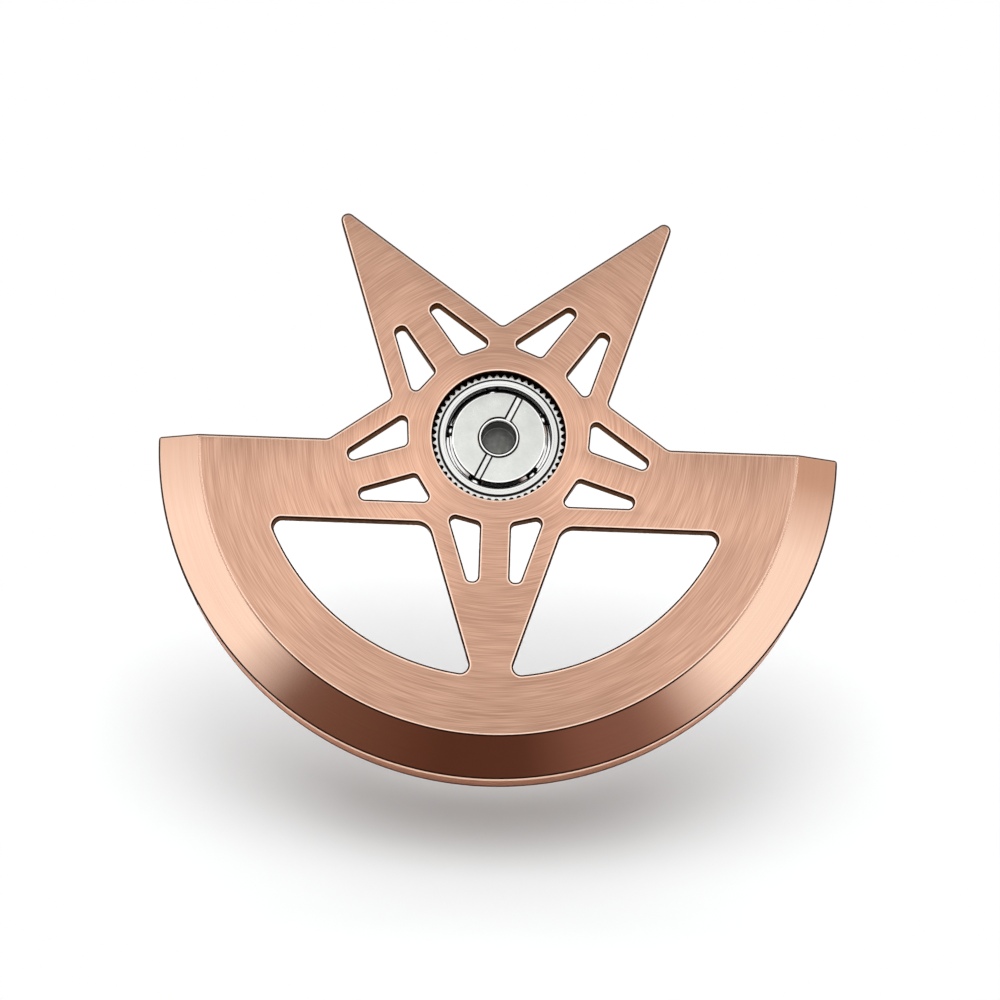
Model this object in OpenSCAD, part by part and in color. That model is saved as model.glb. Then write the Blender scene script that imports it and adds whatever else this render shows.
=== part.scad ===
// Oscillating weight of a self-winding watch, with the ball bearing that carries it.
// The origin is on the bearing's axis, at the face that seats on the movement's post.
// +Z points out of the watch, and +Y points between the two free arms of the star.

/* [Weight outline] */
// Outer radius of the weight
rim_r = 13.26; // [12.8:0.02:14]
// Distance from the axis to each of the star's ten edges
star_d = 3.56; // [3.4:0.02:3.7]
// Distance of the straight edge below the axis
flat_drop = 0.37; // [0.1:0.01:0.8]
// Radius on the two free tips of the star
tip_round = 0.27; // [0.15:0.01:0.5]
// Fillet in the notches between the arms
notch_round = 0.25; // [0.1:0.01:0.6]
// Fillet where the side arms run into the straight edge
join_round = 0.4; // [0.1:0.05:1]

/* [Windows] */
// Radius of the windows' curved side
window_r = 9.38; // [8.6:0.02:9.8]
// Fillet beside the root of the lower arm
window_root_round = 0.6; // [0.2:0.05:0.9]
// Fillet in the windows' other corners
window_round = 0.32; // [0.1:0.02:0.5]

/* [Slots] */
// Width of the rib between a slot and the arm's edge
edge_rib = 0.82; // [0.5:0.02:1]
// Width of the rib between the two slots of an arm
centre_rib = 1.2; // [0.8:0.05:1.5]
// Width of the ring of metal between the bearing and the slots
hub_ring = 0.93; // [0.6:0.01:1.2]
// Distance from the axis to the slots' outer ends
slot_end = 5.78; // [5.2:0.02:6.2]
// Lean of the slots' inner side, in degrees
slot_lean = 14; // [0:1:20]
// Radius in the corners of the slots
slot_round = 0.2; // [0.05:0.01:0.22]

/* [Rim] */
// Thickness of the plate
plate_t = 0.6; // [0.5:0.01:0.8]
// Height of the rim
rim_h = 2.2; // [1.5:0.05:2.4]
// Radial width of the thick part of the rim, under the plate
rim_w = 3.06; // [2:0.02:3.3]
// Radial width of the bevel on the rim
bevel_w = 1.68; // [1:0.02:2.2]
// Drop of the bevel, from the plate's face
bevel_drop = 0.7; // [0.3:0.02:0.9]
// Narrow edge between the bevel and the rim's wall
rim_edge = 0.1; // [0.05:0.01:0.25]
// Chamfer at the foot of the rim's wall
foot_edge = 0.06; // [0.02:0.01:0.15]

/* [Ball bearing] */
// Height of the bearing, from its seat to its face
bearing_h = 1.25; // [1.15:0.05:1.5]
// Depth of the bearing's face below the plate's face
bearing_recess = 0.35; // [0.25:0.01:0.4]
// Height by which the inner race stands below the outer race
seat_step = 0.15; // [0.05:0.01:0.2]
// Radius of the seat under the inner race
seat_r = 1.35; // [1:0.05:1.5]
// Radius of the slotted cap
cap_r = 1.8; // [1.7:0.01:1.9]
// Width of the open gap between the cap and the outer race
race_gap = 0.23; // [0.2:0.01:0.26]
// Width of the outer race's bright face
race_face_w = 0.33; // [0.3:0.01:0.36]
// Thickness of the outer race's wall below its flange
race_wall = 0.24; // [0.22:0.01:0.3]
// Thickness of the outer race's flange
race_flange_t = 0.08; // [0.05:0.01:0.12]
// Diameter of a ball
ball_d = 0.5; // [0.48:0.01:0.54]
// Direction of the first ball, in degrees
ball_start = 27; // [0:1:71]
// Running clearance between a ball and its grooves
ball_gap = 0.02; // [0.01:0.005:0.03]
// Running clearance between the cap and the cage, and round a ball in its pocket
cage_gap = 0.03; // [0.02:0.005:0.04]
// Gap between the cage and the outer race
cage_out_gap = 0.09; // [0.03:0.01:0.1]
// Depth of the cage's top below the bearing's face
cage_depth = 0.16; // [0.1:0.01:0.25]
// Thickness of the cage's ring, under the balls
cage_ring_t = 0.12; // [0.08:0.01:0.14]

/* [Hub and gear] */
// Radius of the bore for the movement's post
bore_r = 0.63; // [0.5:0.01:0.7]
// Wall of the threaded tube that the cap is screwed on
tube_wall = 0.14; // [0.1:0.01:0.2]
// Clearance between the tube's thread and the cap
thread_gap = 0.01; // [0.005:0.005:0.02]
// Width of the driver slot across the cap
driver_slot_w = 0.32; // [0.2:0.01:0.4]
// Depth of the driver slot
driver_slot_d = 0.12; // [0.08:0.01:0.2]
// Direction of the driver slot, in degrees
driver_slot_angle = 65; // [0:1:180]
// Number of teeth on the gear
gear_teeth = 54; // [45:1:70]
// Width of the gear's ring between its bore and the roots of its teeth
gear_ring = 0.13; // [0.1:0.01:0.2]
// Pressure angle of the gear's teeth, in degrees
pressure_angle = 20; // [18:1:22]
// Radius of the small broken edges on the bearing
fine_edge = 0.03; // [0.01:0.005:0.04]

/* [Hidden] */

copper = [0.78, 0.52, 0.40];
race_steel = [0.80, 0.81, 0.80];
gear_steel = [0.68, 0.69, 0.70];
ball_steel = [0.88, 0.89, 0.90];
cage_steel = [0.74, 0.72, 0.66];

// The star is the regular one with five arms. Each arm's two edges have their normals 72 degrees
// from the arm, so the five edge lines and the five arms share the same directions.
star_turn = 72;
arm_angles = [for (i = [0:4]) 270 + star_turn * i];
ball_count = 5;

// Depth of a tooth below the pitch circle, in modules
tooth_foot = 1.2;

// Heights
face_z = bearing_h;
plate_top = face_z + bearing_recess;
plate_bottom = plate_top - plate_t;
rim_bottom = plate_top - rim_h;
race_bottom = seat_step;
ball_z = (face_z + race_bottom) / 2;
flange_bottom = face_z - race_flange_t;

// Radii
rim_in = rim_r - rim_w;
bevel_in = rim_r - bevel_w;
tube_r = bore_r + tube_wall;
ball_r = ball_d / 2;
groove_r = ball_r + ball_gap;
race_in = cap_r + race_gap;
race_body = race_in + race_wall;
race_out = race_in + race_face_w;
ball_ring_r = (cap_r + race_in) / 2;
cage_in = cap_r + cage_gap;
cage_out = race_in - cage_out_gap;
pocket_r = ball_r + cage_gap;
cage_floor = ball_z - pocket_r;
gear_root = race_body + gear_ring;
gear_module = gear_root / (gear_teeth / 2 - tooth_foot);
gear_pitch = gear_module * gear_teeth / 2;
gear_tip = gear_pitch + gear_module;
gear_base = gear_pitch * cos(pressure_angle);

// The gear's tips are pressed into the plate's bore.
plate_bore = gear_tip;

// Degrees between the points of large and small arcs, and how far cuts run past a face
wide_step = 3;
small_step = 15;
past = 1;
$fn = 72;

function unit(v) = v / norm(v);
function ray(r, angle) = r * [cos(angle), sin(angle)];
function direction_of(v) = atan2(v[1], v[0]);
function half_turn(angle) = angle - 360 * round(angle / 360);

// Crossing of two lines, each given by the direction of its normal and its distance from the axis
function crossing(angle_1, d_1, angle_2, d_2) =
    [d_1 * sin(angle_2) - d_2 * sin(angle_1), d_2 * cos(angle_1) - d_1 * cos(angle_2)]
    / sin(angle_2 - angle_1);

// Points of an arc round a centre, from one direction through a turn, the ends included
function arc(centre, r, start, turn, step) =
    let (n = max(2, ceil(abs(turn) / step)))
    [for (i = [0:n]) centre + ray(r, start + turn * i / n)];

// A corner b between its neighbours a and c, rounded with radius r
function rounded_corner(a, b, c, r) =
    let (u = unit(a - b), v = unit(c - b), half = acos(u * v) / 2,
         centre = b + unit(u + v) * r / sin(half),
         start = direction_of(b + u * r / tan(half) - centre),
         end = direction_of(b + v * r / tan(half) - centre))
    arc(centre, r, start, half_turn(end - start), small_step);

// An outline whose corners are [point, radius], with 0 for a sharp corner
function rounded_outline(corners) =
    let (n = len(corners))
    [for (i = [0:n - 1])
        let (b = corners[i][0], r = corners[i][1])
        each r == 0 ? [b] : rounded_corner(corners[(i + n - 1) % n][0], b, corners[(i + 1) % n][0], r)];

// The fillet between a window's straight side and its curved one, from the straight side on
function window_corner(normal, side) =
    let (d = star_d + window_round, far = window_r - window_round,
         centre = ray(d, normal) + ray(side * sqrt(far * far - d * d), normal + 90),
         start = normal + 180)
    arc(centre, window_round, start, half_turn(direction_of(centre) - start), small_step);

// Half the angle of a tooth at radius r, for involute flanks
function roll(angle) = tan(angle) * 180 / PI - angle;
function tooth_half(r) = 90 / gear_teeth + roll(pressure_angle) - roll(acos(gear_base / r));

function backwards(points) = [for (i = [len(points) - 1:-1:0]) points[i]];
function without_ends(points) = [for (i = [1:len(points) - 2]) points[i]];

module weight_outline() {
    reach = rim_r + past;
    polygon(rounded_outline([
        [[reach, -flat_drop], 0],
        [crossing(54, star_d, 90, -flat_drop), join_round],
        [crossing(-18, star_d, 54, star_d), notch_round],
        [crossing(-18, star_d, 126, star_d), tip_round],
        [crossing(54, star_d, 126, star_d), notch_round],
        [crossing(54, star_d, 198, star_d), tip_round],
        [crossing(126, star_d, 198, star_d), notch_round],
        [crossing(126, star_d, 90, -flat_drop), join_round],
        [[-reach, -flat_drop], 0],
        [[-reach, -reach], 0],
        [[reach, -reach], 0]
    ]));
}

// The window on the +X side, between the lower arm and the straight lower edge of the side arm
module window_outline() {
    root = crossing(-18, star_d, -90, star_d);
    beside_arm = window_corner(-18, -1);
    below_side = window_corner(-90, 1);
    from = direction_of(below_side[len(below_side) - 1]);
    turn = direction_of(beside_arm[len(beside_arm) - 1]) - from;
    polygon(concat(
        rounded_corner(beside_arm[0], root, below_side[0], window_root_round),
        below_side,
        without_ends(arc([0, 0], window_r, from, turn, wide_step)),
        backwards(beside_arm)
    ));
}

// One slot of an arm that points along +X, on the +Y side of the arm's middle rib
module slot_outline() {
    inner_d = plate_bore + hub_ring;
    outer_d = star_d - edge_rib;
    rib = centre_rib / 2;
    polygon(rounded_outline([
        [crossing(slot_lean, inner_d, 90, rib), slot_round],
        [crossing(90, rib, 0, slot_end), slot_round],
        [crossing(0, slot_end, star_turn, outer_d), slot_round],
        [crossing(star_turn, outer_d, slot_lean, inner_d), slot_round]
    ]));
}

// Half section of the turned blank that the weight is cut from
module weight_section() {
    polygon([
        [0, plate_bottom],
        [rim_in, plate_bottom],
        [rim_in, rim_bottom],
        [rim_r - foot_edge, rim_bottom],
        [rim_r, rim_bottom + foot_edge],
        [rim_r, plate_top - bevel_drop - rim_edge],
        [rim_r - rim_edge, plate_top - bevel_drop],
        [bevel_in, plate_top],
        [0, plate_top]
    ]);
}

module oscillating_weight() {
    color(copper)
    difference() {
        intersection() {
            rotate_extrude() weight_section();
            translate([0, 0, rim_bottom - past])
            linear_extrude(rim_h + 2 * past)
            difference() {
                weight_outline();
                circle(plate_bore);
                for (side = [0, 1]) mirror([side, 0]) window_outline();
                for (angle = arm_angles, side = [0, 1])
                    rotate(angle) mirror([0, side]) slot_outline();
            }
        }
        // The free arms stay as thin as the plate where they reach out over the rim's radius.
        translate([-rim_r, -flat_drop, plate_bottom - rim_h])
        cube([2 * rim_r, rim_r, rim_h]);
    }
}

// The toothed ring, pushed on to the outer race from below and pressed into the plate
module rotor_gear() {
    flank = [gear_root, gear_pitch, gear_tip];
    color(gear_steel)
    translate([0, 0, race_bottom])
    linear_extrude(flange_bottom - race_bottom)
    difference() {
        polygon([
            for (tooth = [0:gear_teeth - 1])
            let (middle = 360 * tooth / gear_teeth)
            each concat(
                [for (r = flank) ray(r, middle - tooth_half(r))],
                [for (r = backwards(flank)) ray(r, middle + tooth_half(r))]
            )
        ]);
        circle(race_body);
    }
}

module ball_groove() {
    translate([ball_ring_r, ball_z]) circle(groove_r);
}

module outer_race() {
    color(race_steel)
    rotate_extrude()
    difference() {
        polygon([
            [race_in, race_bottom],
            [race_body, race_bottom],
            [race_body, flange_bottom],
            [race_out, flange_bottom],
            [race_out, face_z - fine_edge],
            [race_out - fine_edge, face_z],
            [race_in + fine_edge, face_z],
            [race_in, face_z - fine_edge]
        ]);
        ball_groove();
    }
}

// The lower half of the inner race, with the foot that seats on the post and the threaded tube
module inner_race() {
    color(race_steel)
    rotate_extrude()
    difference() {
        polygon([
            [bore_r, 0],
            [seat_r, 0],
            [seat_r, seat_step],
            [cap_r - fine_edge, seat_step],
            [cap_r, seat_step + fine_edge],
            [cap_r, ball_z],
            [tube_r, ball_z],
            [tube_r, face_z],
            [tube_r - fine_edge, face_z],
            [bore_r, face_z - tube_wall + fine_edge]
        ]);
        ball_groove();
    }
}

// The slotted upper half of the inner race, screwed down on the tube
module inner_race_cap() {
    color(race_steel)
    difference() {
        rotate_extrude()
        difference() {
            polygon([
                [tube_r + thread_gap, ball_z],
                [cap_r, ball_z],
                [cap_r, face_z - fine_edge],
                [cap_r - fine_edge, face_z],
                [tube_r + thread_gap, face_z]
            ]);
            ball_groove();
        }
        rotate(driver_slot_angle)
        translate([0, 0, face_z - driver_slot_d / 2 + past / 2])
        cube([2 * cap_r + past, driver_slot_w, driver_slot_d + past], center = true);
    }
}

// Everything that belongs to one ball is drawn in this place.
module at_ball(number) {
    rotate(ball_start + 360 * (number - 1) / ball_count)
    translate([ball_ring_r, 0, ball_z])
    children();
}

// A crown: a ring under the balls, with fingers that stand up between them
module ball_cage() {
    height = face_z - cage_depth - cage_floor;
    color(cage_steel)
    difference() {
        rotate_extrude()
        translate([cage_in, cage_floor - cage_ring_t])
        square([cage_out - cage_in, height + cage_ring_t]);
        for (number = [1:ball_count])
            at_ball(number) translate([0, 0, -pocket_r]) cylinder(r = pocket_r, h = height + past);
    }
}

module ball(number) {
    color(ball_steel) at_ball(number) sphere(ball_r);
}

oscillating_weight();
rotor_gear();
outer_race();
inner_race();
inner_race_cap();
ball_cage();
ball(1);  // ball_1
ball(2);  // ball_2
ball(3);  // ball_3
ball(4);  // ball_4
ball(5);  // ball_5
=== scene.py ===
import math

import bmesh
import bpy
from mathutils import Matrix, Vector, geometry


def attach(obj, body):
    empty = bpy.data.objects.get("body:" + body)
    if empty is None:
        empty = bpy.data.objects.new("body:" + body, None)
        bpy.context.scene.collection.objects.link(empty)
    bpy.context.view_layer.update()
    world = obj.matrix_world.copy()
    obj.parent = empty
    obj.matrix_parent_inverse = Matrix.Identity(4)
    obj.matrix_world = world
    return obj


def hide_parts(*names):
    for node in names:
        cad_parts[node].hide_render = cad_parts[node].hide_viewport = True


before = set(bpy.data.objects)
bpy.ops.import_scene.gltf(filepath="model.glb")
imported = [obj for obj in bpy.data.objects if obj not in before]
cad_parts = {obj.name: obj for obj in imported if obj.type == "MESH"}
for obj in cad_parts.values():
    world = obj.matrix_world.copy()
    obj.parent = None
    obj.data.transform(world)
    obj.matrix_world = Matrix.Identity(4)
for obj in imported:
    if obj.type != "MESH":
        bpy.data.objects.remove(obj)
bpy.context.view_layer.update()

MM = 0.001

# Sizes in millimetres, the same as the part's
RIM_R, STAR_D, FLAT_DROP = 13.26, 3.56, 0.37
TIP_ROUND, NOTCH_ROUND, JOIN_ROUND = 0.27, 0.25, 0.4
WINDOW_R, WINDOW_ROOT_ROUND, WINDOW_ROUND = 9.38, 0.6, 0.32
EDGE_RIB, CENTRE_RIB, HUB_RING = 0.82, 1.2, 0.93
SLOT_END, SLOT_LEAN, SLOT_ROUND = 5.78, 14, 0.2
PLATE_TOP, PLATE_BOTTOM, RIM_BOTTOM = 1.6, 1.0, -0.6
RIM_IN, BEVEL_IN, BEVEL_OUT = 10.2, 11.58, 13.16
BEVEL_DROP, RIM_EDGE, FOOT_EDGE = 0.7, 0.1, 0.06
FACE_Z, RACE_BOTTOM, BALL_Z, FLANGE_BOTTOM = 1.25, 0.15, 0.7, 1.17
CAP_R, RACE_IN, RACE_BODY, RACE_OUT = 1.8, 2.03, 2.27, 2.36
BALL_RING_R, GROOVE_R, SEAT_R = 1.915, 0.27, 1.35
BORE_R, TUBE_R, THREAD_GAP, FINE_EDGE = 0.63, 0.77, 0.01, 0.03
DRIVER_SLOT_W, DRIVER_SLOT_D, DRIVER_SLOT_ANGLE = 0.32, 0.12, 65
GEAR_TEETH, GEAR_ROOT, TOOTH_FOOT = 54, 2.4, 1.2
GEAR_MODULE = GEAR_ROOT / (GEAR_TEETH / 2 - TOOTH_FOOT)
GEAR_TIP = GEAR_MODULE * (GEAR_TEETH / 2 + 1)

# The weight's face ends in a bright facet with a thin dark one outside it, whose colour is painted
# shade. EDGE_Z gives the height from the face of each facet's border, by the border's distance from the
# outline
EDGE_BRIGHT, EDGE_DARK, UNDER_EDGE = 0.052, 0.06, 0.03
EDGE = EDGE_BRIGHT + EDGE_DARK
EDGE_Z = {EDGE: 0.0, EDGE_DARK: -0.011, 0.0: -0.045}

# The bevel and the turned lines beside it: each row's radius, how much larger it is at the
# rim's lowest point, its height from the face and the part of the surface that follows.
# Three parts are for the rim's lowest stretch, the stretches beside it and its two ends, as
# painted light and shade: a line is bright, dark or brown by where it lies on the rim
RIM_TOP_R = 13.22
RIM_ROWS = [
    (BEVEL_IN - 0.09, 0.05, 0.0, "inner_edge"),
    (BEVEL_IN - 0.045, 0.05, -0.008, "fading"),
    (BEVEL_IN + 0.02, 0.05, -0.02, "bevel"),
    (BEVEL_OUT - 0.055, -0.035, -0.673, ("bevel", "edge", "edge")),
    (BEVEL_OUT - 0.02, -0.035, -0.69, ("line", "line", "outline")),
    (BEVEL_OUT + 0.04, -0.035, -0.72, ("bevel", "lip", "outline")),
    (RIM_TOP_R, 0.0, -BEVEL_DROP - RIM_EDGE, "wall"),
]
# A stretch is told by how steeply its points lie below the axis
LOWEST_SLANT, BESIDE_SLANT = 1.1, 0.6
END_RADII = [row[0] for row in reversed(RIM_ROWS)] + [RIM_IN]
RIM_STEPS, WINDOW_STEPS = 150, 40
# Edges stay sharp from these angles in degrees, on the steel and on the weight
SHARP, WEIGHT_SHARP = 20, 12

# The rounding of the rim's two outer corners, the height of the dark line of painted shade along
# the foot of its wall, how far the wall leans in at that line, and how much larger the line and
# the foot are at the rim's lowest point
END_ROUND, WALL_LINE, WALL_LEAN, WALL_LINE_SAG, FOOT_SAG = 0.12, 0.06, 0.004, 0.025, 0.055
# The ledge at the foot of the plate's bore, pressed down between the gear's teeth
LEDGE_R, LEDGE_Z = 2.42, 1.04
# How far the driver slot's two walls lean in
DRIVER_SLOT_LEANS = 0.085, 0.068
# The upper chamfer of the gear's teeth, and the points of a tooth's flank on its upper face,
# as the radius and, but for the first, half the tooth's width in degrees
CHAMFER_DEPTH, CHAMFER_ROOT, CHAMFER_POINTS = 0.11, 2.425, [(2.49, 1.35), (2.56, 0.5)]
PRESSURE_ANGLE = 20


def ray(r, angle):
    a = math.radians(angle)
    return Vector((r * math.cos(a), r * math.sin(a)))


def angle_of(v):
    return math.degrees(math.atan2(v.y, v.x))


def half_turn(angle):
    """The same direction as an angle between -180 and 180 degrees."""
    return (angle + 180) % 360 - 180


def crossing(angle_1, d_1, angle_2, d_2):
    """Where two lines cross, each given by the direction of its normal and its distance from the axis."""
    a, b = math.radians(angle_1), math.radians(angle_2)
    x = d_1 * math.sin(b) - d_2 * math.sin(a)
    y = d_2 * math.cos(a) - d_1 * math.cos(b)
    return Vector((x, y)) / math.sin(b - a)


def arc(centre, r, start, turn, step=7.5):
    """Points along an arc, no farther apart than a step in degrees."""
    n = max(2, math.ceil(abs(turn) / step - 0.01))
    return [centre + ray(r, start + turn * i / n) for i in range(n + 1)]


def rounded_corner(a, b, c, r):
    """The arc of radius r that rounds the corner at b between a and c."""
    u, v = (a - b).normalized(), (c - b).normalized()
    half = math.acos(u.dot(v)) / 2
    centre = b + (u + v).normalized() * r / math.sin(half)
    reach = r / math.tan(half)
    start = angle_of(b + u * reach - centre)
    return arc(centre, r, start, half_turn(angle_of(b + v * reach - centre) - start))


def rounded(corners):
    """The rounded corners of an open chain: the first and last only give directions."""
    points = []
    for before, (b, r), after in zip(corners, corners[1:-1], corners[2:]):
        points += rounded_corner(before[0], b, after[0], r)
    return points


def end_height(r, low):
    """The height of the rim's flat ends at radius r, where their corner is rounded."""
    t = max(0.0, (r - RIM_TOP_R + END_ROUND) / END_ROUND)
    return low - END_ROUND * (1 - math.sqrt(max(0.0, 1 - t * t)))


def star_outline(c):
    """The star and the straight edge, moved into the metal by c, from the rim's right end to its left.

    Each side is given by the angle of its normal. The star's lie 72 degrees apart, from 54."""
    d, low = STAR_D - c, -FLAT_DROP - c
    heights = [end_height(r, low) for r in END_RADII]
    ends = [Vector((math.sqrt(r * r - y * y), y)) for r, y in zip(END_RADII, heights)]
    notch, join, tip = NOTCH_ROUND + c, JOIN_ROUND + c, TIP_ROUND - c
    middle = rounded([
        (Vector((RIM_R, low)), 0),
        (crossing(54, d, 90, low), join),
        (crossing(-18, d, 54, d), notch),
        (crossing(-18, d, 126, d), tip),
        (crossing(54, d, 126, d), notch),
        (crossing(54, d, 198, d), tip),
        (crossing(126, d, 198, d), notch),
        (crossing(126, d, 90, low), join),
        (Vector((-RIM_R, low)), 0),
    ])
    return ends + middle + [Vector((-p.x, p.y)) for p in reversed(ends)]


def window_outline(c, side):
    """The window beside the lower arm, on the +X side (side 1) or the -X side (side -1), wider by c.

    Its two straight sides lie along the star's own, whose normals point at -18 and -90 degrees."""
    r, d, far = WINDOW_ROUND + c, STAR_D + WINDOW_ROUND, WINDOW_R - WINDOW_ROUND

    def corner(normal, way):
        centre = ray(d, normal) + ray(way * math.sqrt(far * far - d * d), normal + 90)
        start = normal + 180
        return arc(centre, r, start, half_turn(angle_of(centre) - start))

    root = crossing(-18, STAR_D - c, -90, STAR_D - c)
    beside, below = corner(-18, -1), corner(-90, 1)
    start = angle_of(below[-1])
    turn = angle_of(beside[-1]) - start
    curve = [ray(WINDOW_R + c, start + turn * i / WINDOW_STEPS) for i in range(1, WINDOW_STEPS)]
    points = rounded_corner(beside[0], root, below[0], WINDOW_ROOT_ROUND + c)
    points += below + curve + beside[::-1]
    return [Vector((side * p.x, p.y)) for p in points]


def slot_outline(c, angle, side):
    """One of the two slots of the arm that points along angle, wider by c."""
    inner, outer = GEAR_TIP + HUB_RING - c, STAR_D - EDGE_RIB + c
    rib, end = CENTRE_RIB / 2 - c, SLOT_END + c
    corners = [
        (crossing(SLOT_LEAN, inner, 90, rib), SLOT_ROUND + c),
        (crossing(90, rib, 0, end), SLOT_ROUND + c),
        (crossing(0, end, 72, outer), SLOT_ROUND + c),
        (crossing(72, outer, SLOT_LEAN, inner), SLOT_ROUND + c),
    ]
    a = math.radians(angle)
    turned = []
    for p in rounded([corners[-1]] + corners + [corners[0]]):
        x, y = p.x, side * p.y
        turned.append(Vector((x * math.cos(a) - y * math.sin(a), x * math.sin(a) + y * math.cos(a))))
    return turned


def circle(r):
    return arc(Vector((0, 0)), r, 0, 360, 2.5)[:-1]


def holes(c):
    """The windows, the slots and, as the last, the bore, wider by c."""
    found = [window_outline(c, side) for side in (1, -1)]
    found += [slot_outline(c, 270 + 72 * i, side) for i in range(5) for side in (1, -1)]
    return found + [circle(GEAR_TIP + min(c, EDGE_BRIGHT))]


def rim_row(r, low, sag=0.0):
    """Points along the rim at radius r, larger by sag at the middle, between the ends where y is low."""
    inset = math.degrees(math.asin(-end_height(r, low) / r))
    angles = [180 + inset + (180 - 2 * inset) * k / RIM_STEPS for k in range(RIM_STEPS + 1)]
    return [ray(r + sag * math.sin(math.radians(a)) ** 2, a) for a in angles]


def inside(p, loop):
    """Whether a point is inside a loop, from how often a line to one side of it crosses the loop."""
    odd = False
    for a, b in zip(loop, loop[1:] + loop[:1]):
        if (a.y > p.y) != (b.y > p.y) and p.x < a.x + (p.y - a.y) * (b.x - a.x) / (b.y - a.y):
            odd = not odd
    return odd


def drop(r):
    """How far the weight's surface lies below its face at radius r."""
    if r <= RIM_ROWS[0][0]:
        return 0.0
    for (r_0, _, z_0, _), (r_1, _, z_1, _) in zip(RIM_ROWS, RIM_ROWS[1:]):
        if r <= r_1 + 1e-6:
            return z_0 + (z_1 - z_0) * (r - r_0) / (r_1 - r_0)
    return RIM_ROWS[-1][2]


def edge_drop(c, r):
    """The same for the outer edge's facets. Beside the bevel the bright one lies level with it."""
    level_with_it = min(0.0, EDGE_Z[c] - EDGE_Z[EDGE_DARK])
    return drop(r) + (level_with_it if r > RIM_ROWS[2][0] - 0.001 else EDGE_Z[c])


def object_from(bm, name):
    """An object in the scene, made from a finished bmesh."""
    mesh = bpy.data.meshes.new(name)
    bm.to_mesh(mesh)
    bm.free()
    made = bpy.data.objects.new(name, mesh)
    bpy.context.scene.collection.objects.link(made)
    return made


class Builder:
    """Collects faces in millimetres, each with the number of its material."""

    def __init__(self, parts):
        self.bm, self.parts = bmesh.new(), parts

    def face(self, points, part):
        made = self.bm.faces.new([self.bm.verts.new([x * MM for x in p]) for p in points])
        made.material_index = self.parts.index(part)

    def strip(self, a, b, part, closed=False):
        """Faces between two rows. The part is a name, or three names as in RIM_ROWS."""
        for i in range(len(a) if closed else len(a) - 1):
            j = (i + 1) % len(a)
            slant = -a[i][1] / (abs(a[i][0]) + 1e-6)
            stretch = (slant < LOWEST_SLANT) + (slant < BESIDE_SLANT)
            here = part if isinstance(part, str) else part[stretch]
            self.face([a[i], a[j], b[j], b[i]], here)

    def flat(self, outer, inner, z, part):
        """The flat area between an outer loop and the holes in it."""
        loops = [outer] + inner
        points, edges = [], []
        for loop in loops:
            n = len(points)
            edges += [(n + i, n + (i + 1) % len(loop)) for i in range(len(loop))]
            points += loop
        verts, _, tris, *_ = geometry.delaunay_2d_cdt(points, edges, [], 1, 1e-7)
        for tri in tris:
            corners = [verts[i] for i in tri]
            middle = sum(corners, Vector((0, 0))) / 3
            if inside(middle, outer) and not any(inside(middle, hole) for hole in inner):
                self.face([(p.x, p.y, z) for p in corners], part)

    def object(self, name, materials, sharp=SHARP):
        """The object made of the faces, with edges sharper than an angle in degrees kept sharp."""
        bmesh.ops.remove_doubles(self.bm, verts=self.bm.verts, dist=2e-7)
        bmesh.ops.recalc_face_normals(self.bm, faces=self.bm.faces)
        loose = sum(not e.is_manifold for e in self.bm.edges)
        if loose:
            print(name, "has", loose, "open edges")
        made = object_from(self.bm, name)
        mesh = made.data
        mesh.polygons.foreach_set("use_smooth", [True] * len(mesh.polygons))
        mesh.set_sharp_from_angle(angle=math.radians(sharp))
        # Keeps the radial tangent's centre on the axis
        mesh.use_auto_texspace = False
        mesh.texspace_location, mesh.texspace_size = (0, 0, 0), (RIM_R * MM,) * 3
        for part in self.parts:
            mesh.materials.append(materials[part])
        return made


def at(points, z):
    """2-D points at one height, or each at its own."""
    heights = z if isinstance(z, list) else [z] * len(points)
    return [(p.x, p.y, h) for p, h in zip(points, heights)]


def hole_walls(b, loops, foot):
    """The broken edges and the walls of the windows, the slots and the bore.

    The loops are the outlines of all holes, listed under how much wider they are."""
    holes_in_plate = len(loops[0.0]) - 1
    for i, wall in enumerate(loops[0.0]):
        levels = [(loops[c][i], PLATE_TOP + EDGE_Z[c]) for c in EDGE_Z]
        if i < holes_in_plate:
            # The line and the cut walls are painted shade
            parts = ["edge", "line", "cut", "under"]
        else:
            # The bore has no dark facet but a ledge at its foot, dark with painted shade
            parts = ["edge", "cut", "line", "cut", "under"]
            levels = [levels[0], (wall, levels[1][1]), (wall, LEDGE_Z)]
            wall = circle(LEDGE_R)
            levels.append((wall, LEDGE_Z))
        levels += [(wall, foot), (loops[UNDER_EDGE][i], PLATE_BOTTOM)]
        rows = [at(*level) for level in levels]
        for high, low, part in zip(rows, rows[1:], parts):
            b.strip(high, low, part, closed=True)


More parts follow.
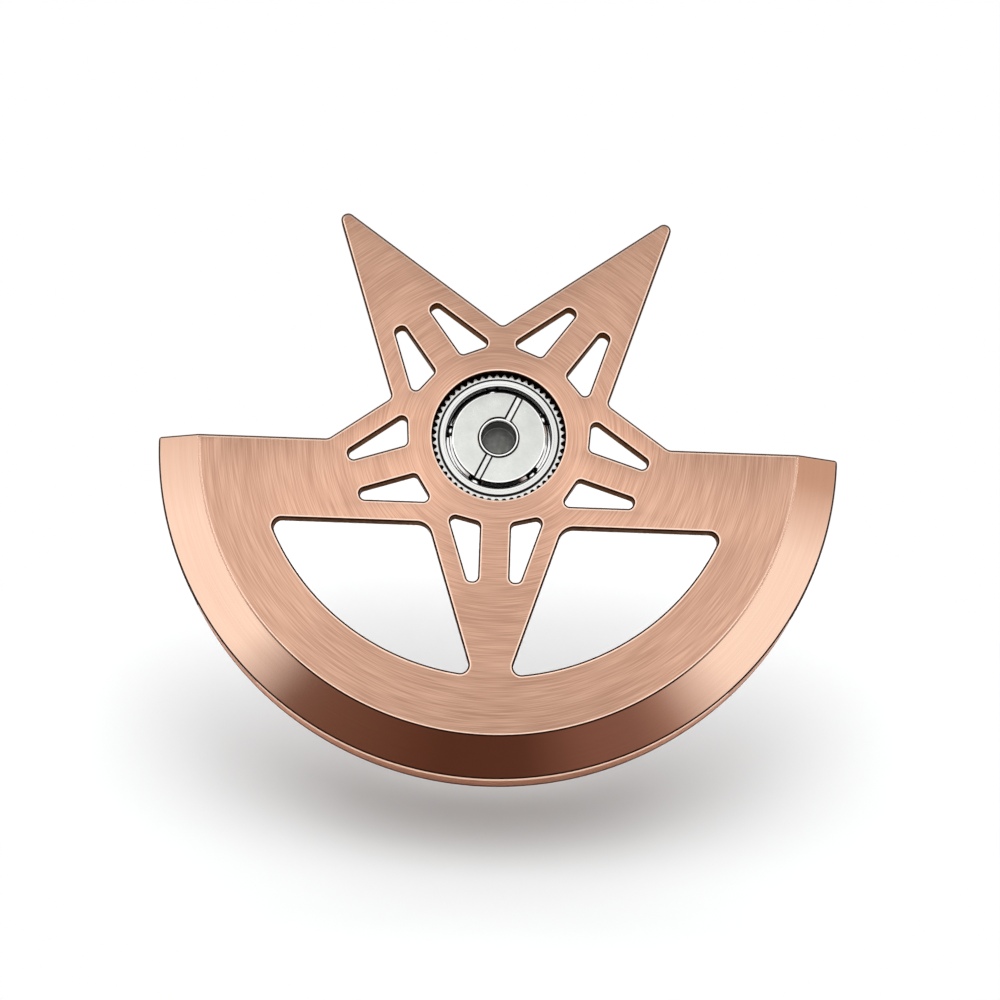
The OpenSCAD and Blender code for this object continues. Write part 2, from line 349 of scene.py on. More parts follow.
def make_weight(materials):
    b = Builder(list(materials))
    # Where the face and the plate begin among the outline's points, after those of the rim's end
    face_from, plate_from = END_RADII.index(RIM_ROWS[0][0]), END_RADII.index(RIM_IN)

    # The face, the broken edges and the walls below them. The bright facet is dark at its two
    # ends, as painted shade, where it crosses the lines beside the bevel
    chains = {c: star_outline(c) for c in EDGE_Z}
    tops = {c: at(p, [PLATE_TOP + edge_drop(c, v.length) for v in p]) for c, p in chains.items()}
    last = len(tops[EDGE])
    for part, i, j in (("outline", 0, 3), ("edge", 2, last - 2), ("outline", last - 3, last)):
        b.strip(tops[EDGE][i:j], tops[EDGE_DARK][i:j], part)
    b.strip(tops[EDGE_DARK], tops[0.0], "outline")
    rows = [at(rim_row(r, -FLAT_DROP - EDGE, sag), PLATE_TOP + z) for r, sag, z, _ in RIM_ROWS]
    for low, high, (*_, part) in zip(rows, rows[1:], RIM_ROWS):
        b.strip(low, high, part)
    face_row = rim_row(RIM_ROWS[0][0], -FLAT_DROP - EDGE, RIM_ROWS[0][1])
    b.flat(chains[EDGE][face_from:-face_from] + face_row[1:-1], holes(EDGE), PLATE_TOP, "face")

    foot = PLATE_BOTTOM + UNDER_EDGE
    plate_chain = chains[0.0][plate_from:-plate_from]
    under_chain = star_outline(UNDER_EDGE)[plate_from:-plate_from]
    b.strip(tops[0.0][plate_from:-plate_from], at(plate_chain, foot), "cut")
    b.strip(at(plate_chain, foot), at(under_chain, PLATE_BOTTOM), "under")
    loops = {c: holes(c) for c in (EDGE, EDGE_DARK, 0.0, UNDER_EDGE)}
    # The bore is narrower below its ledge
    loops[UNDER_EDGE][-1] = circle(LEDGE_R + UNDER_EDGE)
    hole_walls(b, loops, foot)

    # The rim: its wall, foot and underside, the step inside it and its two flat ends
    foot_z = RIM_BOTTOM + FOOT_EDGE
    wall_low = at(rim_row(RIM_R - WALL_LEAN, -FLAT_DROP, WALL_LINE_SAG), foot_z + WALL_LINE)
    wall_foot = at(rim_row(RIM_R, -FLAT_DROP, FOOT_SAG), foot_z)
    bottom_out = at(rim_row(RIM_R - FOOT_EDGE, -FLAT_DROP), RIM_BOTTOM)
    bottom_in = at(rim_row(RIM_IN, -FLAT_DROP), RIM_BOTTOM)
    step_row = rim_row(RIM_IN, -FLAT_DROP - UNDER_EDGE)
    step_top = at(step_row, PLATE_BOTTOM)
    b.strip(rows[-1], wall_low, "wall")
    b.strip(wall_low, wall_foot, "cut")
    b.strip(wall_foot, bottom_out, "edge")
    b.strip(bottom_out, bottom_in, "under")
    b.strip(bottom_in, step_top, "cut")
    b.flat(under_chain + step_row[1:-1], loops[UNDER_EDGE], PLATE_BOTTOM, "under")
    for end, order in ((-1, 1), (0, -1)):
        tip = [tops[c][::order][0] for c in EDGE_Z]
        b.face(tip + [wall_foot[end], wall_low[end]], "wall")
        corner = at(plate_chain[::order][:1], foot)
        b.face(corner + [step_top[end], bottom_in[end]], "cut")
        edge = tops[0.0][::order][:plate_from + 1] + corner
        b.face(edge[:2] + [wall_foot[end]], "wall")
        b.face([edge[1], bottom_out[end], wall_foot[end]], "wall")
        b.face(edge[1:] + [bottom_in[end], bottom_out[end]], "wall")
    return b.object("weight_plate", materials, WEIGHT_SHARP)


def lathe(name, profile, materials, turns=160):
    """A turned ring from a closed profile of (r, z, part of the surface that follows)."""
    b = Builder(list(dict.fromkeys(p[2] for p in profile)))
    angles = [360 * k / turns for k in range(turns)]
    rings = [at([ray(r, a) for a in angles], z) for r, z, _ in profile]
    for i, (_, _, part) in enumerate(profile):
        b.strip(rings[i], rings[(i + 1) % len(rings)], part, closed=True)
    return b.object(name, materials)


def groove(start, end, part):
    """Profile points of the ball groove, between two directions seen from the ball's centre."""
    points = arc(Vector((BALL_RING_R, BALL_Z)), GROOVE_R, start, end - start, 12)
    return [(p.x, p.y, part) for p in points]


def add(tree, kind, inputs=(), **settings):
    """A new node. Each input is linked if its value is a socket, and set if it isn't."""
    node = tree.nodes.new(kind)
    for name, value in settings.items():
        setattr(node, name, value)
    for socket, value in dict(inputs).items():
        if isinstance(value, bpy.types.NodeSocket):
            tree.links.new(value, node.inputs[socket])
        else:
            node.inputs[socket].default_value = value
    return node


def calc(tree, operation, *values):
    return add(tree, "ShaderNodeMath", dict(enumerate(values)), operation=operation).outputs[0]


def vector_calc(tree, operation, value, other=None):
    """Arithmetic of a vector with another vector, or with a number where it scales."""
    inputs = {0: value}
    if other is not None:
        inputs[3 if operation == "SCALE" else 1] = other
    node = add(tree, "ShaderNodeVectorMath", inputs, operation=operation)
    return node.outputs["Value" if operation == "DISTANCE" else "Vector"]


def spread(tree, value, low, high, out_low, out_high, **settings):
    """A value's range from low to high, turned into another range."""
    steps = {0: value, 1: low, 2: high, 3: out_low, 4: out_high}
    return add(tree, "ShaderNodeMapRange", steps, **settings).outputs[0]


def mix(tree, level, colour, other):
    """One colour at level 0 and the other at level 1."""
    return add(tree, "ShaderNodeMix", {0: level, 6: colour, 7: other}, data_type="RGBA").outputs[2]


def object_point(tree):
    return add(tree, "ShaderNodeTexCoord").outputs["Object"]


def object_xyz(tree):
    return add(tree, "ShaderNodeSeparateXYZ", {0: object_point(tree)}).outputs


def clear_from_behind(tree, front):
    """A shader that lets light through from behind."""
    behind = add(tree, "ShaderNodeNewGeometry").outputs["Backfacing"]
    clear = add(tree, "ShaderNodeBsdfTransparent").outputs[0]
    return add(tree, "ShaderNodeMixShader", {0: behind, 1: front, 2: clear}).outputs[0]


def empty_material(name):
    """A material without nodes."""
    mat = bpy.data.materials.new(name)
    mat.use_nodes = True
    mat.node_tree.nodes.clear()
    return mat


def noise(tree, sizes_mm, detail=2.0, rough=0.5):
    """Noise whose grains have these sizes along x, y, z and, with a fourth, along the radius."""
    x, y, z = object_xyz(tree)
    out = [calc(tree, "MULTIPLY", v, 1 / (s * MM)) for v, s in zip((x, y, z), sizes_mm)]
    if len(sizes_mm) == 4:
        square = calc(tree, "ADD", calc(tree, "MULTIPLY", x, x), calc(tree, "MULTIPLY", y, y))
        along = calc(tree, "MULTIPLY", calc(tree, "SQRT", square), 1 / (sizes_mm[3] * MM))
        out[2] = calc(tree, "ADD", out[2], along)
    where = add(tree, "ShaderNodeCombineXYZ", dict(enumerate(out))).outputs[0]
    cells = {"Vector": where, "Scale": 1.0, "Detail": detail, "Roughness": rough}
    return add(tree, "ShaderNodeTexNoise", cells).outputs[0]


# The noise's values between which a metal goes from its darkest to its lightest, and the shares
# of open air between which painted shade takes it from black to its colour in a corner. The
# relief is in millimetres
NOISE_LOW, NOISE_HIGH = 0.33, 0.67
SHUT_IN, OPEN = 0.42, 0.85
RELIEF = 0.003


def faded(tree, colour, other, low, high):
    """A colour that goes over into another one between two heights along y."""
    level = spread(tree, object_xyz(tree)[1], low * MM, high * MM, 0.0, 1.0)
    return mix(tree, level, colour, (*other, 1))


def painted_light_pool(tree, colour, centre, near, far, bright, dim):
    """A colour with a painted pool of light: paler round a centre, from its strengths at two distances
    from it.
    """
    away = vector_calc(tree, "DISTANCE", object_point(tree), [c * MM for c in centre])
    level = spread(tree, away, near * MM, far * MM, bright, dim)
    return vector_calc(tree, "SCALE", colour, level)


def painted_corner_shade(tree, colour, distance):
    """A colour with painted shade in corners: it darkens where other surfaces lie within a distance and
    shut out the light.
    """
    open_to_air = add(tree, "ShaderNodeAmbientOcclusion", {"Distance": distance * MM}).outputs["AO"]
    return vector_calc(tree, "SCALE", colour, spread(tree, open_to_air, SHUT_IN, OPEN, 0.0, 1.0))


def leaning(tree, amount):
    """The surface's direction when it leans outwards from the axis, as on a turned chamfer."""
    flat = vector_calc(tree, "MULTIPLY", object_point(tree), (1, 1, 0))
    turned = add(tree, "ShaderNodeVectorTransform", {0: flat}, convert_from="OBJECT", convert_to="WORLD")
    out = vector_calc(tree, "NORMALIZE", turned.outputs[0])
    up = add(tree, "ShaderNodeNewGeometry").outputs["Normal"]
    lean = vector_calc(tree, "ADD", up, vector_calc(tree, "SCALE", out, amount))
    return vector_calc(tree, "NORMALIZE", lean)


def metal(name, dark, light, grain, mottle=(2, 2, 2), rough=(0.25, 0.4), bump=0.0, share=0.75,
          detail=3.0, corner_shade=0.0, cone=0.0, fade=None, glow=None, **fixed):
    """A metal between two colours, with fine grain and broad mottling in its tone, gloss and relief.

    The share is the grain's part in the tone, and the corner shade is painted: it gives how far off
    a surface still darkens this one. The cone is for a function above; the fade paints light and
    shade along y and the glow a pool of light, with the functions above. What is left
    names the shader's sockets, and is the same all over the surface."""
    mat = bpy.data.materials.new(name)
    mat.use_nodes = True
    tree = mat.node_tree
    shader = tree.nodes["Principled BSDF"]
    fine, broad = noise(tree, grain, detail, 0.6), noise(tree, mottle)
    tone = calc(tree, "ADD", calc(tree, "MULTIPLY", fine, share), calc(tree, "MULTIPLY", broad, 1 - share))
    level = spread(tree, tone, NOISE_LOW, NOISE_HIGH, 0.0, 1.0)
    colour = mix(tree, level, (*dark, 1), (*light, 1))
    if fade:
        colour = faded(tree, colour, *fade)
    if glow:
        colour = painted_light_pool(tree, colour, *glow)
    if corner_shade:
        colour = painted_corner_shade(tree, colour, corner_shade)
    roughness = spread(tree, tone, NOISE_LOW, NOISE_HIGH, rough[1], rough[0])
    tree.links.new(colour, shader.inputs["Base Color"])
    tree.links.new(roughness, shader.inputs["Roughness"])
    shader.inputs["Metallic"].default_value = fixed.pop("metallic", 1.0)
    if bump:
        relief = add(tree, "ShaderNodeBump", {"Height": fine, "Strength": bump, "Distance": RELIEF * MM})
        tree.links.new(relief.outputs[0], shader.inputs["Normal"])
    if cone:
        tree.links.new(leaning(tree, cone), shader.inputs["Normal"])
    if "Anisotropic" in fixed:
        around = add(tree, "ShaderNodeTangent", direction_type="RADIAL", axis="Z").outputs[0]
        tree.links.new(around, shader.inputs["Tangent"])
    for socket, value in fixed.items():
        shader.inputs[socket].default_value = value
    return mat


def brushed(amount):
    """Sockets of a metal whose gloss spreads across the circles that it is brushed in."""
    return {"Anisotropic": amount, "Anisotropic Rotation": 0.25}


# What several metals share: a broken edge, a dull thin line and a turned wall
broken_edge = {"grain": (0.4, 0.4, 0.1), "rough": (0.12, 0.24)}
thin_line = {"grain": (0.3, 0.3, 0.1), "rough": (0.5, 0.7), "metallic": 0.0, "Specular IOR Level": 0.05}
turned_wall = {"grain": (3, 3, 0.05), "rough": (0.22, 0.36)}
# The heights between which the lines at the bevel's inner edge change towards the rim's ends, as painted
# light and shade: the bright edge darkens there and the dark line pales
FADE_LOW, FADE_HIGH = -9.2, -6.2

weight_metals = {
    # The face's colour has a painted pool of light round a point below the bearing, and painted shade
    # farther out
    "face": metal("brushed_rose_gold", (0.7, 0.395, 0.274), (0.862, 0.53, 0.38), (1.3, 1.3, 1.0, 0.03),
                  mottle=(4, 4, 4, 0.6), rough=(0.39, 0.45), bump=0.15, share=0.78, detail=0.2,
                  glow=((-1, -3.5, PLATE_TOP), 2, 10, 1.13, 0.93), **brushed(0.92)),
    "edge": metal("polished_edge", (0.84, 0.58, 0.45), (0.92, 0.69, 0.56), **broken_edge),
    # The bright edge inside the bevel and the thin line beside it carry painted light and shade along y
    "inner_edge": metal("fading_edge", (0.82, 0.56, 0.43), (0.9, 0.66, 0.53),
                        fade=((0.74, 0.49, 0.375), FADE_LOW, FADE_HIGH), **broken_edge),
    "fading": metal("fading_line", (0.01, 0.003, 0.002), (0.026, 0.008, 0.004),
                    fade=((0.76, 0.46, 0.335), FADE_LOW, FADE_HIGH), **thin_line),
    # Painted shade: the thin facets and lines along the weight's edges are near black or dark brown
    "line": metal("painted_shade_line", (0.01, 0.003, 0.002), (0.026, 0.008, 0.004), **thin_line),
    "outline": metal("painted_shade_brown_line", (0.035, 0.016, 0.01), (0.06, 0.028, 0.018), **thin_line),
    "bevel": metal("polished_rose_gold", (0.85, 0.56, 0.42), (0.9, 0.62, 0.48), (5, 5, 5, 0.06),
                   mottle=(4, 4, 4), rough=(0.1, 0.15), bump=0.02),
    "lip": metal("shaded_rose_gold", (0.42, 0.24, 0.17), (0.56, 0.34, 0.25), **turned_wall),
    "wall": metal("turned_rose_gold", (0.69, 0.43, 0.31), (0.81, 0.525, 0.385), bump=0.15,
                  **turned_wall, **{"Specular Tint": (0.82, 0.46, 0.34, 1)}),
    # Painted shade: the walls below the edges, the holes' walls and the line at the rim's foot are dark,
    # darker again in corners
    "cut": metal("painted_shade_rose_gold", (0.088, 0.044, 0.031), (0.15, 0.08, 0.059), (0.25, 0.25, 0.6),
                 rough=(0.3, 0.45), bump=0.2, corner_shade=0.5, **{"Specular Tint": (0.5, 0.4, 0.34, 1)}),
    "under": metal("plain_rose_gold", (0.42, 0.26, 0.2), (0.54, 0.36, 0.28), (4, 4, 4, 0.12),
                   rough=(0.34, 0.5), bump=0.3, **brushed(0.4)),
}
steel = {
    "turned": metal("turned_steel", (0.62, 0.625, 0.61), (0.84, 0.84, 0.82), (6, 6, 6, 0.03),
                    rough=(0.16, 0.3), bump=0.2, **brushed(0.5)),
    "satin": metal("satin_steel", (0.62, 0.635, 0.61), (0.7, 0.71, 0.685), (0.1, 0.1, 0.1),
                   mottle=(0.9, 0.9, 0.9), rough=(0.24, 0.34), share=0.4),
    "slot": metal("milled_steel", (0.72, 0.725, 0.71), (0.84, 0.84, 0.83), (0.15, 0.15, 0.15),
                  rough=(0.26, 0.4)),
    "edge": metal("polished_steel_edge", (0.88, 0.88, 0.86), (0.95, 0.95, 0.94), (0.3, 0.3, 0.1),
                  rough=(0.08, 0.18)),
    # Painted shade: the bearing's thin lines and walls are near-black steel, and its inner sides and
    # grooves dark steel, darker again in corners
    "line": metal("painted_shade_steel_line", (0.012, 0.012, 0.012), (0.03, 0.03, 0.028), **thin_line),
    "side": metal("painted_shade_steel", (0.12, 0.12, 0.12), (0.22, 0.22, 0.215), (0.5, 0.5, 0.04),
                  bump=0.1, corner_shade=0.5),
    # The gear and the cage darken in corners, as painted shade
    "gear": metal("cut_steel", (0.66, 0.66, 0.65), (0.86, 0.86, 0.84), (0.08, 0.08, 0.3),
                  rough=(0.2, 0.34), bump=0.15, corner_shade=0.25),
    "cage": metal("cage_steel", (0.78, 0.77, 0.75), (0.9, 0.89, 0.87), (0.3, 0.3, 0.05),
                  rough=(0.05, 0.1), cone=0.42, corner_shade=0.1),
    "ball": metal("ball_steel", (0.86, 0.86, 0.87), (0.92, 0.92, 0.92), (0.1, 0.1, 0.1),
                  rough=(0.04, 0.08)),
}

weight = make_weight(weight_metals)
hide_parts("oscillating_weight")
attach(weight, "rotor")

# In the bearing's profiles the line parts are near-black steel and the side parts dark steel, both painted
# shade
outer = lathe("bearing_outer_race", [
    (RACE_IN, RACE_BOTTOM, "side"),
    (RACE_BODY, RACE_BOTTOM, "side"),
    (RACE_BODY, FLANGE_BOTTOM, "line"),
    (RACE_OUT, FLANGE_BOTTOM, "line"),
    (RACE_OUT, FACE_Z - 0.05, "line"),
    (RACE_OUT - 0.065, FACE_Z - 0.012, "edge"),
    (RACE_OUT - 0.08, FACE_Z, "turned"),
    (RACE_IN + 0.125, FACE_Z, "side"),
    (RACE_IN + 0.118, FACE_Z - 0.006, "turned"),
    (RACE_IN + 0.042, FACE_Z - 0.006, "line"),
    (RACE_IN, FACE_Z - 0.03, "side"),
    *groove(64.8, -64.8, "side"),
], steel)
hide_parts("outer_race")
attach(outer, "rotor")

inner = lathe("bearing_inner_race", [
    (BORE_R, 0.04, "edge"),
    (BORE_R + 0.04, 0, "turned"),
    (SEAT_R - 0.02, 0, "edge"),
    (SEAT_R, 0.02, "side"),
    (SEAT_R, RACE_BOTTOM, "turned"),
    (CAP_R - FINE_EDGE, RACE_BOTTOM, "edge"),
    (CAP_R, RACE_BOTTOM + FINE_EDGE, "side"),
    *groove(244.8, 180, "side"),
    (TUBE_R, BALL_Z, "line"),
    (TUBE_R, FACE_Z - 0.02, "line"),
    (TUBE_R - 0.02, FACE_Z, "edge"),
    (TUBE_R - 0.07, FACE_Z - 0.004, "turned"),
    (BORE_R + 0.03, FACE_Z - 0.05, "line"),
    (BORE_R, FACE_Z - 0.1, "side"),
], steel)
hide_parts("inner_race")
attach(inner, "hub")


def cut_driver_slot(cap):
    """Cuts the driver slot right across the cap. Its leaning walls show as thin dark lines of painted
    shade.
    """
    across = Builder(["slot", "line"])
    # The cutter stands out above the cap and at both ends
    low, high, wide, reach = FACE_Z - DRIVER_SLOT_D, FACE_Z + 1, DRIVER_SLOT_W / 2, 2.5
    section = [
        (-wide + DRIVER_SLOT_LEANS[0], low),
        (wide - DRIVER_SLOT_LEANS[1], low),
        (wide, FACE_Z),
        (wide, high),
        (-wide, high),
        (-wide, FACE_Z),
    ]
    along, sideways = ray(reach, DRIVER_SLOT_ANGLE), ray(1, DRIVER_SLOT_ANGLE + 90)
    ends = [[(*(end * along + sideways * y), z) for y, z in section] for end in (-1, 1)]
    for i in range(len(section)):
        j = (i + 1) % len(section)
        across.face([ends[0][i], ends[0][j], ends[1][j], ends[1][i]], "slot" if i == 0 else "line")
    for end in ends:
        across.face(end, "line")
    cutter = across.object("cutter", steel)
    cut = cap.modifiers.new("slot", "BOOLEAN")
    cut.object, cut.operation, cut.solver, cut.material_mode = cutter, "DIFFERENCE", "EXACT", "TRANSFER"
    evaluated = cap.evaluated_get(bpy.context.evaluated_depsgraph_get())
    slotted = bpy.data.meshes.new_from_object(evaluated)
    cap.modifiers.clear()
    cap.data = slotted
    slotted.set_sharp_from_angle(angle=math.radians(SHARP))
    bpy.data.objects.remove(cutter)


cap = lathe("bearing_cap", [
    (TUBE_R + THREAD_GAP, BALL_Z, "line"),
    *groove(180, 115.2, "side"),
    (CAP_R, FACE_Z - 0.012, "edge"),
    (CAP_R - 0.05, FACE_Z, "satin"),
    (TUBE_R + THREAD_GAP + 0.055, FACE_Z, "edge"),
    (TUBE_R + THREAD_GAP + 0.035, FACE_Z - 0.01, "line"),
    (TUBE_R + THREAD_GAP, FACE_Z - 0.05, "line"),
], steel, turns=192)
cut_driver_slot(cap)
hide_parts("inner_race_cap")
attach(cap, "hub")


def tooth_half(r):
    """Half the width of a tooth at radius r, in degrees."""
    pressure = math.radians(PRESSURE_ANGLE)
    base = GEAR_MODULE * GEAR_TEETH / 2 * math.cos(pressure)

    def roll(a):
        return math.degrees(math.tan(a) - a)

    return 90 / GEAR_TEETH + roll(pressure) - roll(math.acos(base / r))


def gear_outline(flank):
    """The gear's outline from the radius and half width in degrees of each point along a tooth's flank."""
    loop = []
    for tooth in range(GEAR_TEETH):
        middle = 360 * tooth / GEAR_TEETH
        loop += [ray(r, middle - half) for r, half in flank]
        loop += [ray(r, middle + half) for r, half in reversed(flank)]
    return loop


def make_gear():
    """The toothed ring. Its teeth are chamfered to a point at the upper face."""
    flank = [(r, tooth_half(r)) for r in (GEAR_ROOT, GEAR_MODULE * GEAR_TEETH / 2, GEAR_TIP)]
    full = gear_outline(flank)
    pointed = gear_outline([(CHAMFER_ROOT, tooth_half(CHAMFER_ROOT)), *CHAMFER_POINTS])
    bore, chamfer_z = circle(RACE_BODY), FLANGE_BOTTOM - CHAMFER_DEPTH
    b = Builder(["gear"])
    b.flat(pointed, [bore], FLANGE_BOTTOM, "gear")
    b.strip(at(pointed, FLANGE_BOTTOM), at(full, chamfer_z), "gear", closed=True)
    b.strip(at(full, chamfer_z), at(full, RACE_BOTTOM), "gear", closed=True)
    b.strip(at(bore, FLANGE_BOTTOM), at(bore, RACE_BOTTOM), "gear", closed=True)
    b.flat(full, [bore], RACE_BOTTOM, "gear")
    return b.object("winding_gear", steel)


gear = make_gear()
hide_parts("rotor_gear")
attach(gear, "rotor")


def dress(node, mat, bevel=0.0):
    """A CAD node keeps its solid and takes a material, and its sharp edges are broken."""
    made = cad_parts[node]
    if not made.material_slots:
        made.data.materials.append(None)
    for place in made.material_slots:
        place.link, place.material = "OBJECT", mat
    if bevel:
        broken = made.modifiers.new("broken_edges", "BEVEL")
        broken.width, broken.segments, broken.limit_method = bevel * MM, 1, "ANGLE"
        broken.angle_limit, broken.harden_normals = math.radians(40), True


dress("ball_cage", steel["cage"], 0.015)
for number in range(1, 6):
    dress(f"ball_{number}", steel["ball"])


# Camera: the photograph's, from a fit to the star, the rim and the windows
camera_data = bpy.data.cameras.new("camera")
camera_data.lens, camera_data.sensor_width = 73.2, 36
camera_data.clip_start, camera_data.clip_end = 0.001, 5
camera = bpy.data.objects.new("camera", camera_data)
right, up = Vector((0.99937, 0.0336, 0.01155)), Vector((-0.03537, 0.97208, 0.23198))
back = right.cross(up).normalized()
axes = Matrix((right.normalized(), back.cross(right).normalized(), back)).transposed().to_4x4()
camera_at = Vector((-0.134, -20.672, 77.37))
camera.matrix_world = Matrix.Translation(camera_at * MM) @ axes
bpy.context.scene.collection.objects.link(camera)
bpy.context.scene.camera = camera


def toward(azimuth, elevation, away):
    """The point in a direction from the origin, at a distance in millimetres."""
    a, e = math.radians(azimuth), math.radians(elevation)
    return Vector((math.cos(a) * math.cos(e), math.sin(a) * math.cos(e), math.sin(e))) * away * MM


def lamp(name, azimuth, elevation, away, size, radiance, reflected=True):
    """A softbox that faces the object. Its size is in millimetres, and 1 is the radiance of white.

    It either shows in the metal or lights the floor, so that each can be set by itself."""
    where = toward(azimuth, elevation, away)
    light = bpy.data.lights.new(name, "AREA")
    light.shape, light.size, light.size_y = "RECTANGLE", size[0] * MM, size[1] * MM
    light.energy = radiance * math.pi * light.size * light.size_y
    made = bpy.data.objects.new(name, light)
    made.location = where
    made.rotation_mode = "QUATERNION"
    made.rotation_quaternion = where.to_track_quat("Z", "Y")
    made.visible_camera = False
    made.visible_glossy, made.visible_diffuse = reflected, not reflected
    bpy.context.scene.collection.objects.link(made)


# Three softboxes for the metal and two for the floor
lamp("overhead", 90, 86, 150, (150, 172), 0.8)
lamp("left", 191, 46, 150, (132, 120), 0.75)
lamp("right", 342, 46, 150, (126, 120), 0.71)
lamp("floor_light", 91, 36, 122, (227, 274), 2.93, reflected=False)
lamp("floor_core", 90, 35, 122, (64, 95), 1.59, reflected=False)


def card(name, azimuths, elevations, stops, away=140):
    """A curved card that only the metal sees. Its stops give its colour and opacity at an azimuth."""
    bm = bmesh.new()
    columns = [[bm.verts.new(toward(a, e, away)) for e in elevations] for a in azimuths]
    for before, after in zip(columns, columns[1:]):
        for i in range(len(before) - 1):
            bm.faces.new((before[i], after[i], after[i + 1], before[i + 1]))
    made = object_from(bm, name)
    made.visible_camera = made.visible_diffuse = made.visible_shadow = False
    mat = empty_material(name)
    tree = mat.node_tree
    x, y, _ = object_xyz(tree)
    around = calc(tree, "ARCTAN2", y, x)
    low, high = math.radians(azimuths[0]), math.radians(azimuths[-1])
    ramp = add(tree, "ShaderNodeValToRGB", {0: spread(tree, around, low, high, 0.0, 1.0)})
    points = ramp.color_ramp.elements
    points.remove(points[0])
    for i, (azimuth, colour, opacity) in enumerate(stops):
        place = (azimuth - azimuths[0]) / (azimuths[-1] - azimuths[0])
        point = points[0] if i == 0 else points.new(place)
        point.position, point.color = place, (*colour, opacity)
    glow = add(tree, "ShaderNodeEmission", {"Color": ramp.outputs[0], "Strength": 1.0}).outputs[0]
    clear = add(tree, "ShaderNodeBsdfTransparent").outputs[0]
    shown = add(tree, "ShaderNodeMixShader", {0: ramp.outputs[1], 1: clear, 2: glow}).outputs[0]
    add(tree, "ShaderNodeOutputMaterial", {0: shown})
    made.data.materials.append(mat)


# What the metal mirrors: dark below the rim, black for the bearing's cage, grey behind the
# object, warm at the rim's right end and pale at its left
card("card", range(-155, -20, 6), range(30, 61, 6), [
    (-152, (0.2, 0.11, 0.085), 0.0),
    (-138, (0.2, 0.11, 0.085), 0.9),
    (-131, (0.18, 0.095, 0.07), 1.0),
    (-112, (0.135, 0.062, 0.041), 1.0),
    (-100, (0.1, 0.041, 0.025), 1.0),
    (-81, (0.105, 0.045, 0.029), 1.0),
    (-67, (0.22, 0.115, 0.088), 1.0),
    (-55, (0.24, 0.135, 0.112), 1.0),
    (-47, (0.34, 0.215, 0.175), 0.95),
    (-32, (0.4, 0.26, 0.21), 0.0),
])
black = (0.012, 0.012, 0.012)
card("small_card", range(-121, -43, 7), range(52, 65, 4), [
    (-121, black, 0.0),
    (-114, black, 1.0),
    (-51, black, 1.0),
    (-44, black, 0.0),
], away=136)
grey = (0.05, 0.045, 0.04)
card("back_card", range(40, 141, 10), range(4, 45, 8), [(40, grey, 1.0), (140, grey, 1.0)])
warm = (0.66, 0.5, 0.41)
card("side_card", range(-4, 45, 6), range(16, 41, 8), [
    (-4, warm, 0.0),
    (9, warm, 0.9),
    (30, warm, 1.0),
    (44, warm, 0.0),
])
pale = (0.86, 0.78, 0.71)
card("pale_card", range(144, 181, 6), range(16, 41, 8), [
    (144, pale, 0.0),
    (152, pale, 1.0),
    (164, pale, 0.9),
    (180, pale, 0.0),
])

# Painted shade in the bore: a grey disc across it, which isn't seen from below
SHADE_DISC_R, SHADE_DISC_Z, SHADE_DISC_SIDES = BORE_R - 0.005, 0.3, 48
post_metal = metal("post_grey", (0.15, 0.15, 0.142), (0.2, 0.2, 0.19), (0.2, 0.2, 0.2), rough=(0.35, 0.5))
post_tree = post_metal.node_tree
shown = clear_from_behind(post_tree, post_tree.nodes["Principled BSDF"].outputs[0])
post_tree.links.new(shown, post_tree.nodes["Material Output"].inputs[0])
disc = Builder(["post"])
disc.face(at([ray(SHADE_DISC_R, 360 / SHADE_DISC_SIDES * i) for i in range(SHADE_DISC_SIDES)], SHADE_DISC_Z), "post")
post = disc.object("post_end", {"post": post_metal})
if post.data.polygons[0].normal.z < 0:
    post.data.flip_normals()

# Floor: pale and lit near the object, where it takes the shadow, and plain white farther out
FLOOR_TILT, FLOOR_AWAY, FLOOR_Y = 41.5, 7.7, -6
# The lit oval's centre and half axes, and how much larger the oval is where plain white begins
OVAL_Y, OVAL_HALF_X, OVAL_HALF_Y, WHITE_FROM = 3.5, 18, 13.5, 1.29
FLOOR_CORNERS = [(-60, -14), (60, -14), (60, 60), (-60, 60)]


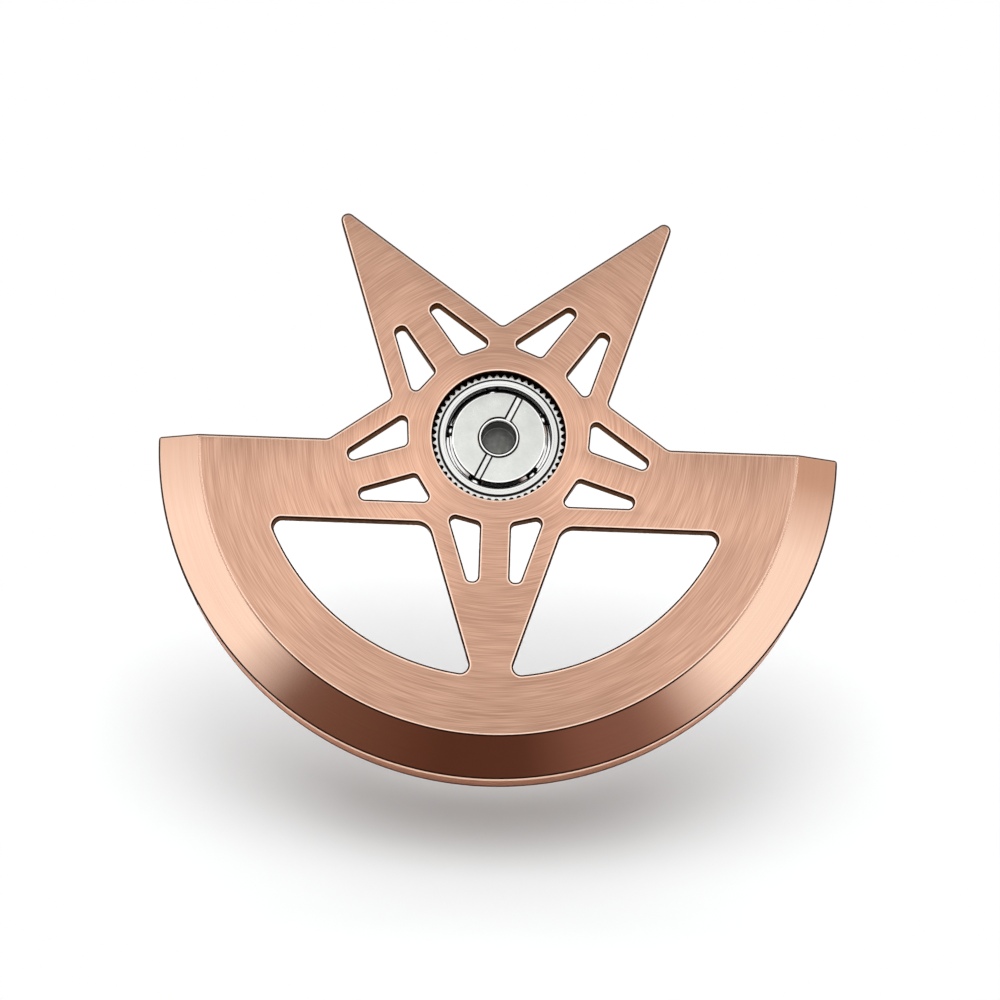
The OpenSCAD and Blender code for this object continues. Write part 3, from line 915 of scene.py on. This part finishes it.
def floor_material():
    mat = empty_material("floor")
    tree = mat.node_tree
    x, y, _ = object_xyz(tree)
    x = calc(tree, "DIVIDE", x, OVAL_HALF_X * MM)
    y = calc(tree, "DIVIDE", calc(tree, "SUBTRACT", y, OVAL_Y * MM), OVAL_HALF_Y * MM)
    far = calc(tree, "SQRT", calc(tree, "ADD", calc(tree, "MULTIPLY", x, x), calc(tree, "MULTIPLY", y, y)))
    far = spread(tree, far, 1.0, WHITE_FROM, 0.0, 1.0, interpolation_type="SMOOTHSTEP")
    path = add(tree, "ShaderNodeLightPath").outputs
    seen = calc(tree, "MAXIMUM", calc(tree, "MAXIMUM", path["Is Camera Ray"], path["Is Glossy Ray"]),
                path["Is Transmission Ray"])
    lit = add(tree, "ShaderNodeBsdfDiffuse", {"Color": (0.665, 0.674, 0.68, 1)}).outputs[0]
    white = add(tree, "ShaderNodeEmission", {"Color": (1, 1, 1, 1), "Strength": 1.0}).outputs[0]
    both = add(tree, "ShaderNodeMixShader", {0: calc(tree, "MULTIPLY", far, seen), 1: lit, 2: white})
    add(tree, "ShaderNodeOutputMaterial", {0: clear_from_behind(tree, both.outputs[0])})
    return mat


floor_bm = bmesh.new()
floor_bm.faces.new([floor_bm.verts.new((x * MM, y * MM, 0)) for x, y in FLOOR_CORNERS])
floor = object_from(floor_bm, "floor")
floor.data.materials.append(floor_material())
tilt = math.radians(FLOOR_TILT)
floor.location = (Vector((0, FLOOR_Y, 0)) - Vector((0, math.sin(tilt), math.cos(tilt))) * FLOOR_AWAY) * MM
floor.rotation_euler = (-tilt, 0, 0)

# World: white at the horizon and greyer overhead. The metal mirrors it, and it lights nothing dull.
# The two heights are where the white ends and the grey begins, as sines of the elevation
WHITE_TO, GREY_FROM, SKY_GREY = 0.15, 0.6, 0.4
world = bpy.data.worlds.new("studio")
bpy.context.scene.world = world
world.use_nodes = True
sky_tree = world.node_tree
sky_tree.nodes.clear()
direction = add(sky_tree, "ShaderNodeTexCoord").outputs["Generated"]
height = add(sky_tree, "ShaderNodeSeparateXYZ", {0: direction}).outputs[2]
sky = spread(sky_tree, height, WHITE_TO, GREY_FROM, 1.0, SKY_GREY, interpolation_type="SMOOTHSTEP")
diffuse = add(sky_tree, "ShaderNodeLightPath").outputs["Is Diffuse Ray"]
sky = calc(sky_tree, "MULTIPLY", sky, calc(sky_tree, "SUBTRACT", 1.0, diffuse))
sky_light = add(sky_tree, "ShaderNodeBackground", {"Color": (1, 1, 1, 1), "Strength": sky}).outputs[0]
add(sky_tree, "ShaderNodeOutputWorld", {0: sky_light})

bpy.context.scene.view_settings.view_transform = "Standard"
